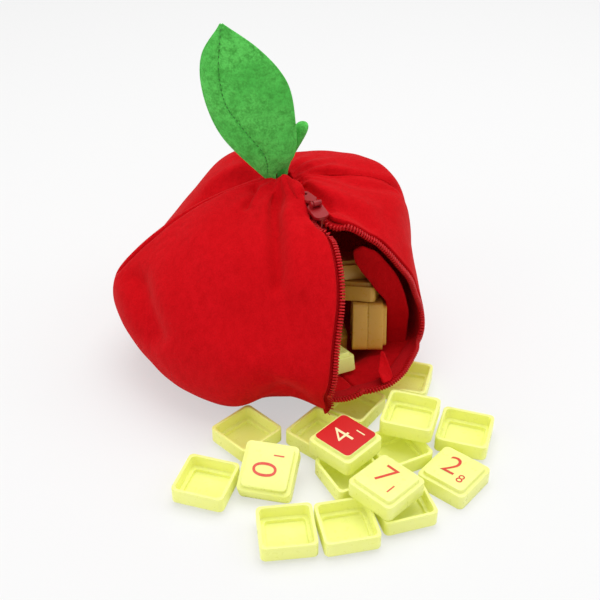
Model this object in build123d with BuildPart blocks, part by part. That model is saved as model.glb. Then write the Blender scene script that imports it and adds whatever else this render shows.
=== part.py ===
"""Apple-shaped zip pouch of red fleece, standing open with its stackable word-game tiles spilling out.

The origin is on the table under the stem, +Z is up, and -Y is the side that shows the open zipper.
All lengths are in millimetres and all angles in degrees.
"""
import os
from math import atan2, cos, degrees, hypot, radians, sin

from build123d import *

os.makedirs("parts", exist_ok=True)

# ---- driving dimensions: pouch ------------------------------------------------------------------
fleece = 2.2                # thickness of the fleece with its lining
fit_gap = 0.3               # clearance between pieces that only touch
dimple_radius = 4.5         # gores are gathered round the leaf and stem at this radius
dimple_height = 74.5
patch_radius = 10.0         # round patch where the gores meet underneath
section_step = 9.0          # azimuth between the sections of a gore

# Meridians of the filled pouch, by azimuth about the stem: 0 is +X, 90 is the back.
# Each gives the radius and height of its crest, shoulder, belly, hem, underside and rest. The heights
# of the crest and shoulder are counted from the dimple, the others from the table.
left_seam, back_seam, right_seam, zip_seam = -167.0, -260.0, -352.0, -62.0
front_left = {
    zip_seam: ((26, -2.5), (49, -10.5), (66, 34), (65, 13), (47, 8.4), (38, 0)),
    -72.0: ((26, -3), (50, -11.5), (68, 32), (65.5, 13.5), (50, 9.5), (37, 0)),
    -90.0: ((23, -2.5), (46, -13.5), (66.5, 33), (64.5, 19), (52, 10.5), (30, 0)),
    -106.0: ((22, -2), (46, -14), (66, 32), (63, 11), (50, 4), (26, 0)),
    -125.0: ((20, -1.5), (46, -14.5), (66, 32), (63, 10.5), (50, 2.6), (26, 0)),
    -146.0: ((18, -1), (45, -14.5), (66.5, 34), (63, 12), (49, 2.8), (26, 0)),
    left_seam: ((16, -0.5), (44, -15.7), (67, 36), (64, 13), (50, 3.2), (26, 0)),
}
back_left = {
    left_seam: front_left[left_seam],
    -175.0: ((16, -2.5), (41, -17.5), (62, 35), (61, 13), (48, 3.2), (26, 0)),
    -189.0: ((18, -2.5), (38, -16.5), (56, 35), (56, 13), (45, 3), (26, 0)),
    -210.0: ((19, 0.5), (37, -12), (53, 37), (53, 13), (42, 2.8), (25, 0)),
    -235.0: ((18, 2.5), (35, -8.5), (49, 40), (48, 14), (38, 2.6), (23, 0)),
    back_seam: ((16, -1), (34, -11), (48, 40), (47, 14), (36, 2.6), (22, 0)),
}
back_right = {
    back_seam: back_left[back_seam],
    -285.0: ((18, -1.5), (37, -9.5), (49, 40), (48, 14), (36, 2.6), (22, 0)),
    -310.0: ((20, -0.5), (41, -7), (52, 40), (49, 14), (37, 2.6), (22, 0)),
    -335.0: ((20, 0.5), (44, -6), (53, 40), (49, 14), (38, 2.6), (23, 0)),
    right_seam: ((19, 0), (45, -8.5), (52.5, 40), (50, 15), (39, 3), (24, 0)),
}
front_right = {
    right_seam: back_right[right_seam],
    -368.0: ((20, -0.5), (45, -10), (53, 38), (52, 15), (42, 4.5), (27, 0)),
    -384.0: ((22, -0.5), (46, -12), (58, 34), (58, 14), (45, 7.5), (35, 0)),
    -398.0: ((24, -1.5), (47, -11.5), (62, 36), (62, 13.5), (46.5, 8.4), (37, 0)),
    -410.0: ((26, -2), (46, -8.5), (65, 36), (65, 13), (46.5, 8.4), (38, 0)),
    zip_seam - 360: front_left[zip_seam],
}

# ---- driving dimensions: zipper -----------------------------------------------------------------
tape_thickness = 0.6
tape_hidden = 3.5           # tape sewn behind the fleece
tape_shown = 2.5            # from the middle of the teeth to the fleece
tooth_pitch = 1.6
tooth_gap = 0.6
tooth_row = 2.4             # width of a row of teeth
tooth_spine = 0.6           # cord that the teeth stand on
teeth_proud = 1.0           # teeth above and below the face of the tape
teeth_below = 0.9
chain_start = 22.5          # the closed stretch of chain begins this far from the stem's axis
chain_end = 29.6
mouth_azimuth = -50.0       # the open mouth faces this way, and tips up
mouth_tilt = 25.0
mouth_depth = 40.0
mouth_reach = 60.0
lip_height = 12.0           # the lower lip of the mouth, over the tiles that it lies on
floor_back = 11.5           # this far behind the lip's teeth and below the floor's top, the pouch is left whole
floor_top = 16.0
lip_start, lip_end = -73.0, -32.0
lip_radius, lip_depth = 63.5, 14.0

# Points that the two rows of teeth pass through, down each side of the open mouth: the upper ones
# with their height from the dimple, the lower ones from the table.
left_upper = ((14.7, -27.6, -3.5), (20.2, -43, -8.5), (21.3, -55, -19.5))
left_lower = ((19.5, -65, 38), (17, -66, 22), (16.6, -61, 9))
right_upper = ((14.7, -27.6, -3.5), (34.3, -31.2, -10.5), (44.3, -31.3, -20.5))
right_lower = ((51.2, -27, 38), (53, -24, 29), (51, -31, 9))
mouth_top_angle = 100.0     # between the two rows where the mouth begins
mouth_low = -30.0           # closes the outline below the lip

slider_length = 8.0
slider_width = 6.0
slider_plate = 1.2
slider_radius = 28.5        # from the stem's axis to the middle of the slider
slider_drop = 2.95          # from the dimple down to the face of the fleece at the slider
slider_slope = 12.0
slider_travel = 3.0
slider_lift = 0.7           # from the face of the fleece to the top plate
slider_throat = 4.7         # between the plates
neck_length = 1.4
neck_width = 1.0
neck_inset = 0.1
ear_thickness = 0.8
ear_reach = 0.9
pin_radius = 0.5
pull_hinge_back = 2.2       # hinge behind the middle of the slider
pull_hinge_height = 1.6     # hinge above the top plate
pull_gap = 0.2              # running gap round the pin and beside the knuckle
pull_width = 4.5
pull_length = 11.0
pull_thickness = 1.0
pull_eye = 1.1
pull_droop = 18.0           # the resting pull slopes down towards the stem
knuckle_width = 2.2
knuckle_reach = 1.15
tab_start = 2.2
stop_length = 1.1

# ---- driving dimensions: leaf and stem ----------------------------------------------------------
leaf_ply = 1.5              # each of the two layers of plush
leaf_foot = (-4.3, 1.1)     # where the leaf leaves the dimple: sideways and above it
leaf_bow = 80.0             # radius of the leaf's curl about an upright axis
leaf_front_face = -3.7
leaf_tab = 3.6              # width of the tab sewn into the dimple
leaf_tab_length = 3.5       # of the tab, down from the dimple
leaf_height = 80.0
leaf_depth = 15.0
leaf_left = ((-3.3, -0.4), (-18.4, 16.3), (-25, 33.5), (-24.6, 49.8), (-16.5, 63.7))
leaf_right = ((-16.5, 63.7), (-2.9, 53.5), (6.6, 40.4), (9.6, 24), (9.2, 8.2), (1.8, 0.2))
# Round sections of the stem: sideways, depth, height from the dimple and radius.
stem_sections = (
    (0, 2.1, -4.5, 2.1), (0, 2.1, 0.5, 2.1), (1.8, 4.2, 5.5, 2.4), (5, 5.4, 11.5, 3),
    (7.6, 6.1, 17, 3.7), (8.5, 6.3, 19.7, 3), (8.8, 6.4, 20.9, 1.4),
)

# ---- driving dimensions: tiles ------------------------------------------------------------------
tile_side = 19.0
tile_corner = 1.2
skirt_height = 5.9
face_inset = 1.4            # the raised face is this much smaller than the tile all round
face_corner = 1.5
face_height = 1.5
tile_rim = 1.2              # wall round the recess, which takes the raised face of the next tile
tile_roof = 1.3

# Where each spilled tile lies: sideways, depth, turn and which way up.
upturned, face_up = True, False
spilled = {
    "tile_01": (-12.5, -69, 45, upturned),
    "tile_02": (-25.5, -94, -17, upturned),
    "tile_04": (14.5, -69.5, 50, upturned),
    "tile_07": (60.8, -90, 50, face_up),
    "tile_08": (2.6, -116.5, 7, upturned),
    "tile_09": (22.5, -114, 12, upturned),
    "tile_10": (41.5, -104.5, 17, upturned),
    "tile_12": (67.3, -68.6, -17.8, upturned),
    "tile_13": (27, -53.5, 55, upturned),
    "tile_14": (42, -78, 27, upturned),
    "tile_15": (48, -38.5, -16, upturned),
    "tile_16": (24.5, -89.5, 28, upturned),
}
second_layer = {
    "tile_05": (23, -81.5, 47, face_up),
    "tile_06": (36, -102.5, 45, face_up),
    "tile_11": (47, -68, -17.6, upturned),
}
leaning_tile = (-3.5, -90, -12.6)
leaning_tilt = 24.5

# Tiles left in the pouch: two nested on edge, two lying on them, a pair at the back and one at the lip.
nested_pair = (33.3, -20, 19.9)
nested_lean = 20.0
on_pair_low = (-4.3, 3, -15)        # along the pair, back from its middle, and turn
on_pair_high = (-9, 6, 20)
back_pair = (15.5, -15, 2.5)
back_turn = 8.0
lip_tile = (16.5, -37.5, 9.8)
lip_tilt = 18.0


def save(builder, name):
    """Label a finished piece and write it."""
    builder.part.label = name
    export_step(builder.part, f"parts/{name}.step")


# ---- pouch --------------------------------------------------------------------------------------
def meridian_plane(azimuth):
    """Upright plane from the stem's axis: its x is the radius and its y the height."""
    a = radians(azimuth)
    return Plane(origin=(0, 0, 0), x_dir=(cos(a), sin(a), 0), z_dir=(sin(a), -cos(a), 0))


def inset(points, depth):
    """Points of a meridian moved into the pouch by a depth, square to the surface."""
    (r0, z0), (r1, z1) = points[0], points[-1]
    befores = [(0, z0), *points[:-2], (2 * r1, z1)]
    afters = [(2 * r0, z0), *points[2:], (0, z1)]
    moved = []
    for before, (r, z), after in zip(befores, points, afters):
        run, rise = after[0] - before[0], after[1] - before[1]
        length = hypot(run, rise)
        moved.append((r + depth * rise / length, z - depth * run / length))
    return moved


def meridian_at(meridians, azimuth):
    """Meridian at any azimuth of a gore, on smooth curves through its given ones."""
    keys = list(meridians)
    last = len(keys) - 1
    i = min(sum(azimuth < key for key in keys[1:]), last - 1)
    span = keys[i + 1] - keys[i]
    t = (azimuth - keys[i]) / span
    shape = []
    for column in range(len(meridians[keys[0]])):
        point = []
        for axis in (0, 1):
            value = [meridians[key][column][axis] for key in keys]
            step = value[i + 1] - value[i]
            slope_in, slope_out = (
                (value[min(j + 1, last)] - value[max(j - 1, 0)])
                / (keys[min(j + 1, last)] - keys[max(j - 1, 0)]) * span
                for j in (i, i + 1)
            )
            bend = (1 - t) * (slope_in - step) + t * (step - slope_out)
            point.append(value[i] + t * step + t * (1 - t) * bend)
        shape.append(tuple(point))
    return shape


def gore_shell(meridians, near, far):
    """Curved panel between two depths below the pouch's surface, flat where it stands."""
    first, *_, last = meridians
    spans = round(abs(last - first) / section_step)
    with BuildPart() as shell:
        for i in range(spans + 1):
            azimuth = first + (last - first) * i / spans
            *upper, belly, hem, underside, rest = meridian_at(meridians, azimuth)
            points = [(dimple_radius, dimple_height), *((r, dimple_height + z) for r, z in upper)]
            points += [belly, hem, underside, rest, (patch_radius, 0)]
            outer_points, inner_points = inset(points, near), inset(points, far)
            with BuildSketch(meridian_plane(azimuth)):
                with BuildLine():
                    outer = Spline(*outer_points[:-2])
                    inner = Spline(*inner_points[:-2])
                    Polyline(outer @ 1, *outer_points[-2:], *inner_points[:-3:-1], inner @ 1)
                    Line(outer @ 0, inner @ 0)
                make_face()
        loft(ruled=True)
    return shell.part


# ---- mouth --------------------------------------------------------------------------------------
a, e = radians(mouth_azimuth), radians(mouth_tilt)
mouth_way = Vector(cos(e) * cos(a), cos(e) * sin(a), sin(e))
mouth_plane = Plane(origin=mouth_way * mouth_depth, x_dir=(-sin(a), cos(a), 0), z_dir=mouth_way)


left_teeth, right_teeth = (
    (*((x, y, dimple_height + z) for x, y, z in upper), *lower)
    for upper, lower in ((left_upper, left_lower), (right_upper, right_lower))
)


def on_mouth_plane(points):
    """Points as they look along the way that the mouth faces."""
    flat = [mouth_plane.to_local_coords(Vector(*point)) for point in points]
    return [(point.X, point.Y) for point in flat]


def chain_slot(half_width, start, end):
    """Upright space along the closed stretch of chain, from one radius to another."""
    with BuildPart() as slot:
        with BuildSketch(meridian_plane(zip_seam)):
            with Locations(((start + end) / 2, dimple_height)):
                Rectangle(end - start, 2 * slider_length)
        extrude(amount=half_width, both=True)
    return slot.part


def widened(points, outwards, margin):
    """Points down one side of the mouth's outline, moved outwards by a margin from a shared top."""
    (x_top, y_top), (x_low, y_low) = points[0], points[-1]
    moved = [(x_top, y_top + margin / sin(radians(mouth_top_angle / 2)))]
    for before, (x, y), after in zip(points, points[1:], [*points[2:], (x_low, y_low - 1)]):
        run, rise = after[0] - before[0], after[1] - before[1]
        length = hypot(run, rise)
        moved.append((x + outwards * margin * rise / length, y - outwards * margin * run / length))
    return moved


def mouth_space(margin):
    """Space inside the teeth of the open zipper, its outline grown by a margin."""
    with BuildPart() as space:
        with BuildSketch(mouth_plane):
            with BuildLine():
                left = Spline(*widened(on_mouth_plane(left_teeth), 1, margin))
                right = Spline(*widened(on_mouth_plane(right_teeth), -1, margin))
                low_left, low_right = ((end.X, mouth_low) for end in (left @ 1, right @ 1))
                Polyline(left @ 1, low_left, low_right, right @ 1)
            make_face()
        extrude(amount=mouth_reach)
        split(bisect_by=Plane.XY.offset(lip_height - margin), keep=Keep.TOP)
        with BuildSketch(Plane.XY):
            Circle(lip_radius - floor_back)
        extrude(amount=floor_top, mode=Mode.SUBTRACT)
    return space.part


def tooth_gaps():
    """Slots between the teeth: down both sides of the mouth, along its lip and along the closed chain."""
    with BuildPart() as gaps:
        with BuildSketch(mouth_plane):
            for points, inwards in ((left_teeth, 1), (right_teeth, -1)):
                side = Spline(*on_mouth_plane(points), mode=Mode.PRIVATE)
                for i in range(1, int(side.length / tooth_pitch)):
                    at = side.position_at(i * tooth_pitch, PositionMode.LENGTH)
                    way = side.tangent_at(i * tooth_pitch, PositionMode.LENGTH)
                    middle = at + Vector(-way.Y, way.X) * inwards * tooth_spine
                    with Locations(Location((middle.X, middle.Y, 0), (0, 0, degrees(atan2(way.Y, way.X))))):
                        Rectangle(tooth_gap, tooth_row)
        extrude(amount=mouth_reach)
        split(bisect_by=Plane.XY.offset(lip_height + half_row), keep=Keep.TOP)
        with BuildSketch(Plane.XY.offset(lip_height - half_row + tooth_spine)):
            for i in range(int(radians(lip_end - lip_start) * lip_radius / tooth_pitch)):
                azimuth = lip_start + degrees(i * tooth_pitch / lip_radius)
                with PolarLocations(lip_radius, 1, start_angle=azimuth):
                    Rectangle(lip_depth, tooth_gap)
        extrude(amount=tooth_row)
        with BuildSketch(meridian_plane(zip_seam)):
            for i in range(int((chain_end - chain_start) / tooth_pitch)):
                with Locations((chain_start + (i + 0.5) * tooth_pitch, dimple_height)):
                    Rectangle(tooth_gap, 2 * slider_length)
        extrude(amount=half_row - tooth_spine, both=True)
    return gaps.part


# ---- gores --------------------------------------------------------------------------------------
half_row = tooth_row / 2
stop_start = chain_start - stop_length
slot_end = chain_end + neck_length + slider_travel + tape_shown
mouth_edge = mouth_space(tape_shown)
slot_edge = chain_slot(tape_shown, stop_start - fit_gap, slot_end)
for name, meridians, opened in (
    ("gore_front_left", front_left, True),
    ("gore_back_left", back_left, False),
    ("gore_back_right", back_right, False),
    ("gore_front_right", front_right, True),
):
    with BuildPart() as gore:
        add(gore_shell(meridians, 0, fleece))
        if opened:
            add(mouth_edge, mode=Mode.SUBTRACT)
            add(slot_edge, mode=Mode.SUBTRACT)
    save(gore, name)

with BuildPart() as base_patch:
    with BuildSketch(Plane.XY):
        Circle(patch_radius - fit_gap)
    extrude(amount=fleece)
save(base_patch, "base_patch")

# ---- zipper -------------------------------------------------------------------------------------
teeth_area, mouth_clear = mouth_space(half_row), mouth_space(-half_row)
teeth_slot = chain_slot(half_row, chain_start, slot_end)
neck_slot = chain_slot(neck_width / 2 + fit_gap / 2, chain_end, slot_end)
tape_area = mouth_space(tape_shown + tape_hidden)
tape_slot = chain_slot(tape_shown + tape_hidden, stop_start - tape_hidden, slot_end)
gaps = tooth_gaps()
for side, meridians in (("left", front_left), ("right", front_right)):
    with BuildPart() as tape:
        add(tape_area)
        add(tape_slot)
        add(gore_shell(meridians, fleece, fleece + tape_thickness), mode=Mode.INTERSECT)
        add(teeth_area, mode=Mode.SUBTRACT)
        add(teeth_slot, mode=Mode.SUBTRACT)
    save(tape, f"zipper_tape_{side}")

    with BuildPart() as teeth:
        add(teeth_area)
        add(teeth_slot)
        add(gore_shell(meridians, fleece - teeth_proud, fleece + teeth_below), mode=Mode.INTERSECT)
        add(mouth_clear, mode=Mode.SUBTRACT)
        add(neck_slot, mode=Mode.SUBTRACT)
        add(gaps, mode=Mode.SUBTRACT)
    save(teeth, f"zipper_teeth_{side}")

with BuildPart() as top_stop:
    add(gore_shell(front_left, fleece - teeth_proud, fleece))
    add(gore_shell(front_right, fleece - teeth_proud, fleece))
    add(chain_slot(half_row, stop_start, chain_start), mode=Mode.INTERSECT)
save(top_stop, "zipper_top_stop")

# Slider: x of its plane runs down the zipper, away from the stem, and z stands out of the fleece.
zip_plane = meridian_plane(zip_seam)
slope = radians(slider_slope)
slider_plane = Plane(
    origin=zip_plane.from_local_coords((slider_radius, dimple_height - slider_drop, 0)),
    x_dir=zip_plane.x_dir * cos(slope) - zip_plane.y_dir * sin(slope),
    z_dir=zip_plane.x_dir * sin(slope) + zip_plane.y_dir * cos(slope),
)
low_plate = slider_lift - slider_throat - slider_plate
hinge_height = slider_lift + slider_plate + pull_hinge_height
hinge_point = slider_plane.from_local_coords((-pull_hinge_back, 0, hinge_height))
hinge_plane = Plane(origin=hinge_point, x_dir=slider_plane.x_dir, z_dir=slider_plane.y_dir)
ear_inside = knuckle_width / 2 + pull_gap
with BuildPart() as slider:
    for low in (slider_lift, low_plate):
        with BuildSketch(slider_plane.offset(low)):
            RectangleRounded(slider_length, slider_width, slider_width / 3)
        extrude(amount=slider_plate)
    with BuildSketch(slider_plane.offset(low_plate + slider_plate)):
        with Locations(((slider_length - neck_length) / 2 - neck_inset, 0)):
            RectangleRounded(neck_length, neck_width, neck_width / 3)
    extrude(amount=slider_throat)
    for inside in (ear_inside, -ear_inside - ear_thickness):
        with BuildSketch(hinge_plane.offset(inside)):
            Circle(ear_reach)
            with Locations((0, pull_hinge_height / 2)):
                Rectangle(2 * ear_reach, pull_hinge_height)
        extrude(amount=ear_thickness)
    with BuildSketch(hinge_plane):
        Circle(pin_radius)
    extrude(amount=ear_inside + ear_thickness, both=True)
save(slider, "zipper_slider")

droop = radians(pull_droop)
pull_way = slider_plane.x_dir * -cos(droop) - slider_plane.z_dir * sin(droop)
pull_plane = Plane(origin=hinge_point, x_dir=pull_way, z_dir=slider_plane.y_dir.cross(pull_way))
with BuildPart() as pull:
    with BuildSketch(pull_plane):
        with Locations((knuckle_reach, 0)):
            Rectangle(2 * knuckle_reach, knuckle_width)
        with Locations(((tab_start + pull_length) / 2, 0)):
            RectangleRounded(pull_length - tab_start, pull_width, pull_width / 3)
        with Locations((pull_length - pull_width / 2, 0)):
            Circle(pull_eye, mode=Mode.SUBTRACT)
    extrude(amount=pull_thickness / 2, both=True)
    with BuildSketch(hinge_plane):
        Circle(knuckle_reach)
    extrude(amount=knuckle_width / 2, both=True)
    with BuildSketch(hinge_plane):
        Circle(pin_radius + pull_gap)
    extrude(amount=pull_width, both=True, mode=Mode.SUBTRACT)
save(pull, "zipper_pull")

# ---- leaf and stem ------------------------------------------------------------------------------
leaf_tab_foot = dimple_height - leaf_tab_length
foot_x, foot_z = leaf_foot[0], dimple_height + leaf_foot[1]
with BuildSketch(Plane.XZ) as leaf_outline:
    with BuildLine():
        left = Spline(*[(x + foot_x, z + foot_z) for x, z in leaf_left])
        right = Spline(*[(x + foot_x, z + foot_z) for x, z in leaf_right])
        Polyline(
            right @ 1,
            (leaf_tab / 2, dimple_height),
            (leaf_tab / 2, leaf_tab_foot),
            (-leaf_tab / 2, leaf_tab_foot),
            (-leaf_tab / 2, dimple_height),
            left @ 0,
        )
    make_face()

for name, outer_bow in (("leaf_front", leaf_bow), ("leaf_back", leaf_bow - leaf_ply)):
    with BuildPart() as ply:
        with BuildSketch(Plane.XY.offset(leaf_tab_foot)):
            with Locations((foot_x, leaf_front_face + leaf_bow)):
                Circle(outer_bow)
                Circle(outer_bow - leaf_ply, mode=Mode.SUBTRACT)
        extrude(amount=leaf_height)
        extrude(leaf_outline.sketch, amount=leaf_depth, both=True, mode=Mode.INTERSECT)
    save(ply, name)

with BuildPart() as stem:
    for x, y, z, radius in stem_sections:
        with BuildSketch(Plane.XY.offset(dimple_height + z)):
            with Locations((x, y)):
                Circle(radius)
    loft()
save(stem, "stem")


# ---- tiles --------------------------------------------------------------------------------------
def tile(plane, name):
    """Stackable tile standing on a plane: raised face on top, recess for the next tile underneath."""
    face_side = tile_side - 2 * face_inset
    recess_side = tile_side - 2 * tile_rim
    with BuildPart() as body:
        with BuildSketch(plane):
            RectangleRounded(tile_side, tile_side, tile_corner)
        extrude(amount=skirt_height)
        with BuildSketch(plane.offset(skirt_height)):
            RectangleRounded(face_side, face_side, face_corner)
        extrude(amount=face_height)
        with BuildSketch(plane):
            RectangleRounded(recess_side, recess_side, tile_corner)
        extrude(amount=skirt_height - tile_roof, mode=Mode.SUBTRACT)
        with BuildSketch(plane.offset(skirt_height - tile_roof)):
            RectangleRounded(face_side - 2 * tile_rim, face_side - 2 * tile_rim, face_corner)
        extrude(amount=face_height, mode=Mode.SUBTRACT)
    save(body, name)


def flat_plane(x, y, turn, flipped, low=0):
    """Plane of a tile's skirt for a tile that lies flat, its lowest face at a height."""
    if flipped:
        return Plane(Location((x, y, low + tile_height), (180, 0, -turn)))
    return Plane(Location((x, y, low), (0, 0, turn)))


tile_height = skirt_height + face_height
for name, place in spilled.items():
    tile(flat_plane(*place), name)
for name, place in second_layer.items():
    tile(flat_plane(*place, low=tile_height + fit_gap), name)

x, y, turn = leaning_tile
middle = Location((x, y, fit_gap + sin(radians(leaning_tilt)) * tile_side / 2), (0, 0, turn))
tile(Plane(middle * Location((0, 0, 0), (leaning_tilt, 0, 0))), "tile_03")

# Left in the pouch: two tiles nested on edge, leaning back, with two more lying on top of them.
pair = Location(nested_pair, (-nested_lean, 0, 0))
for name, along in (("tile_inside_1", -skirt_height), ("tile_inside_2", 0)):
    tile(Plane(pair * Location((along, 0, 0), (0, 90, 0))), name)
for name, (along, back, turn), layer in (
    ("tile_inside_3", on_pair_low, 0),
    ("tile_inside_4", on_pair_high, 1),
):
    up = tile_side / 2 + fit_gap + layer * (tile_height + fit_gap)
    tile(Plane(pair * Location((along, back, up), (0, 0, turn))), name)

# A nested pair lies flat behind them, and one tile leans on the slope of the pouch at the left lip.
for name, layer in (("tile_inside_5", 0), ("tile_inside_6", 1)):
    x, y, z = back_pair
    tile(Plane(Location((x, y, z + layer * skirt_height), (0, 0, back_turn))), name)
outwards = degrees(atan2(lip_tile[1], lip_tile[0]))
tile(Plane(Location(lip_tile, (0, 0, outwards)) * Location((0, 0, 0), (0, -lip_tilt, 0))), "tile_inside_7")
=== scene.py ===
"""Apple-shaped zip pouch of red fleece, standing open with its stackable game tiles spilling out.

Blender 4.5. Meshes are worked in millimetres and finished in metres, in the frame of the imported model:
the origin is on the table under the stem, +Z is up, and -Y is the side that shows the open zipper.
"""
from math import asin, atan2, cos, degrees, exp, hypot, pi, radians, sin

import bmesh
import bpy
from mathutils import Matrix, Vector, noise
from mathutils.bvhtree import BVHTree


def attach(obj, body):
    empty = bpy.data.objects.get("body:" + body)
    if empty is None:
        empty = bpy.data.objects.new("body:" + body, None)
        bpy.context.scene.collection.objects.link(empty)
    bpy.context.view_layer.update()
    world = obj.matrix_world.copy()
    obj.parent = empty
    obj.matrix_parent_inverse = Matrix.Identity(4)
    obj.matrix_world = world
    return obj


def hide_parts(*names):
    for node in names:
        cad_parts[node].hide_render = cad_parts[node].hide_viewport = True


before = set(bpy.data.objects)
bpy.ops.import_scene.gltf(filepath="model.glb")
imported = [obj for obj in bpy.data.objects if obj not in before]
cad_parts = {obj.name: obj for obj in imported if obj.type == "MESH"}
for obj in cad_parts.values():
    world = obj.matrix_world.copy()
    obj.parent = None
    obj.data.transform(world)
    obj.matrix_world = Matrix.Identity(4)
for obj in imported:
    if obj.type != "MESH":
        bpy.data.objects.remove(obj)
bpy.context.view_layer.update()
MM = 0.001

# ---- camera -------------------------------------------------------------------------------------
# The photograph is taken from in front and above, with a short telephoto lens. Several soft forms are
# placed by what it shows, so the way between a point and its pixel is worked out here too.
camera_place = Vector((7, -351, 260))
camera_pitch = 34.8
camera_data = bpy.data.cameras.new("camera")
camera_data.lens = 61.8
camera_data.sensor_width = 36
camera = bpy.data.objects.new("camera", camera_data)
camera.location = camera_place * MM
camera.rotation_euler = (radians(90 - camera_pitch), 0, 0)
bpy.context.collection.objects.link(camera)
bpy.context.scene.camera = camera

look = Vector((0, cos(radians(camera_pitch)), -sin(radians(camera_pitch))))
look_up = Vector((0, sin(radians(camera_pitch)), cos(radians(camera_pitch))))
photo_side = 600
photo_focus = photo_side * camera_data.lens / camera_data.sensor_width


def seen(point):
    """Where the camera sees a point, in the photograph's pixels."""
    away = point - camera_place
    ahead = away.dot(look)
    across, up = away.x / ahead, away.dot(look_up) / ahead
    return photo_side / 2 + photo_focus * across, photo_side / 2 - photo_focus * up


def seen_at(across, down, depth):
    """Point behind a pixel of the photograph, at a depth along Y."""
    ray = Vector((1, 0, 0)) * (across - photo_side / 2) - look_up * (down - photo_side / 2) + look * photo_focus
    return camera_place + ray * ((depth - camera_place.y) / ray.y)


# ---- table and light ----------------------------------------------------------------------------
# A seamless white table under soft studio light: a wide lamp overhead, one at each side, and a pale room.
# Seen straight from the camera the table is held near white, and it still takes the object's shadow.
class Shade:
    """Output of a shader node that takes part in Python sums."""

    def __init__(self, finish, socket):
        self.finish, self.socket = finish, socket

    def sum_with(self, operation, first, second):
        return self.finish.node("ShaderNodeMath", {"operation": operation}, {0: first, 1: second})

    def __add__(self, other):
        return self.sum_with("ADD", self, other)

    def __mul__(self, other):
        return self.sum_with("MULTIPLY", self, other)

    __radd__, __rmul__ = __add__, __mul__


class Finish:
    """Material whose nodes are all added by one method."""

    def __init__(self, name, **surface):
        self.material = bpy.data.materials.new(name)
        self.material.use_nodes = True
        self.tree = self.material.node_tree
        self.shader = self.tree.nodes["Principled BSDF"]
        for socket, value in surface.items():
            self.feed(self.shader.inputs[socket.replace("_", " ")], value)

    def feed(self, socket, value):
        """Links a shade to a socket, or sets the socket's value."""
        if isinstance(value, Shade):
            self.tree.links.new(value.socket, socket)
        else:
            socket.default_value = value

    def node(self, kind, settings, inputs, output=0):
        """Adds a node: its settings first, then the values or links of its sockets."""
        node = self.tree.nodes.new(kind)
        for name, value in settings.items():
            setattr(node, name, value)
        for socket, value in inputs.items():
            self.feed(node.inputs[socket], value)
        return Shade(self, node.outputs[output])

    def noise(self, scale, detail=2.0, roughness=0.5, stretch=(1, 1, 1)):
        """Noise in the piece's own metres, from 0 to 1."""
        place = self.node("ShaderNodeTexCoord", {}, {}, "Object")
        place = self.node("ShaderNodeMapping", {}, {"Vector": place, "Scale": stretch})
        inputs = {"Vector": place, "Scale": scale, "Detail": detail, "Roughness": roughness}
        return self.node("ShaderNodeTexNoise", {}, inputs, "Fac")

    def mix(self, share, low, high):
        """Colour between two others."""
        settings = {"data_type": "RGBA", "clamp_factor": True}
        return self.node("ShaderNodeMix", settings, {0: share, 6: low, 7: high}, 2)

    def spread(self, value, low, high):
        """Value stretched so that low becomes 0 and high 1, and held there."""
        inputs = {"Value": value, "From Min": low, "From Max": high}
        return self.node("ShaderNodeMapRange", {"interpolation_type": "SMOOTHSTEP"}, inputs)

    def relief(self, height, distance, strength=1.0):
        """Bump from a height field, its distance in metres."""
        inputs = {"Height": height, "Distance": distance, "Strength": strength}
        self.feed(self.shader.inputs["Normal"], self.node("ShaderNodeBump", {}, inputs))

    def colour(self, value):
        """Colour of the surface."""
        self.feed(self.shader.inputs["Base Color"], value)


table_white = (0.895, 0.895, 0.895, 1)
table_size, white_held, room_light = 3.0, 0.57, 0.55
lit_place = Vector((0.01, -0.03, 0.04))
table_finish = Finish("table", Base_Color=table_white, Roughness=0.8)
light_path = table_finish.node("ShaderNodeLightPath", {}, {}, "Is Camera Ray")
plain_white = table_finish.node("ShaderNodeEmission", {}, {"Color": table_white, "Strength": 1.0})
lit_table = Shade(table_finish, table_finish.shader.outputs[0])
held_white = table_finish.node(
    "ShaderNodeMixShader", {}, {0: light_path * white_held, 1: lit_table, 2: plain_white}
)
table_finish.feed(table_finish.tree.nodes["Material Output"].inputs["Surface"], held_white)
bm = bmesh.new()
bmesh.ops.create_grid(bm, x_segments=1, y_segments=1, size=table_size)
table_mesh = bpy.data.meshes.new("table")
bm.to_mesh(table_mesh)
bm.free()
table_mesh.materials.append(table_finish.material)
table = bpy.data.objects.new("table", table_mesh)
bpy.context.collection.objects.link(table)

room = bpy.data.worlds.new("room")
room.use_nodes = True
room.node_tree.nodes["Background"].inputs["Color"].default_value = (1, 1, 1, 1)
room.node_tree.nodes["Background"].inputs["Strength"].default_value = room_light
bpy.context.scene.world = room
bpy.context.scene.view_settings.view_transform = "Standard"
for name, place, size, power in (
    ("lamp_overhead", (0.05, 0.10, 0.90), 0.8, 5.4),
    ("lamp_left", (-0.75, -0.45, 0.40), 0.7, 1.8),
    ("lamp_right", (0.75, 0.00, 0.55), 0.6, 1.3),
):
    lamp_data = bpy.data.lights.new(name, "AREA")
    lamp_data.size = size
    lamp_data.energy = power
    lamp = bpy.data.objects.new(name, lamp_data)
    lamp.location = place
    lamp.rotation_euler = (lit_place - Vector(place)).to_track_quat("-Z", "Y").to_euler()
    bpy.context.collection.objects.link(lamp)

# ---- fleece pouch -------------------------------------------------------------------------------
# Four gores of short-napped polyester fleece, sewn together and gathered round the leaf and stem on top
# and round a patch underneath. The full bag slumps, so each gore sags over its own hem; the front left
# gore stands out past its neighbour, and the two front gores part along the open zipper.
fleece = 2.2                # thickness
left_seam, back_seam, right_seam, zip_seam = -167.0, 100.0, 8.0, -62.0
dimple = (4.5, 74.5)
patch_ring = (10.0, 0.0)
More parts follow.
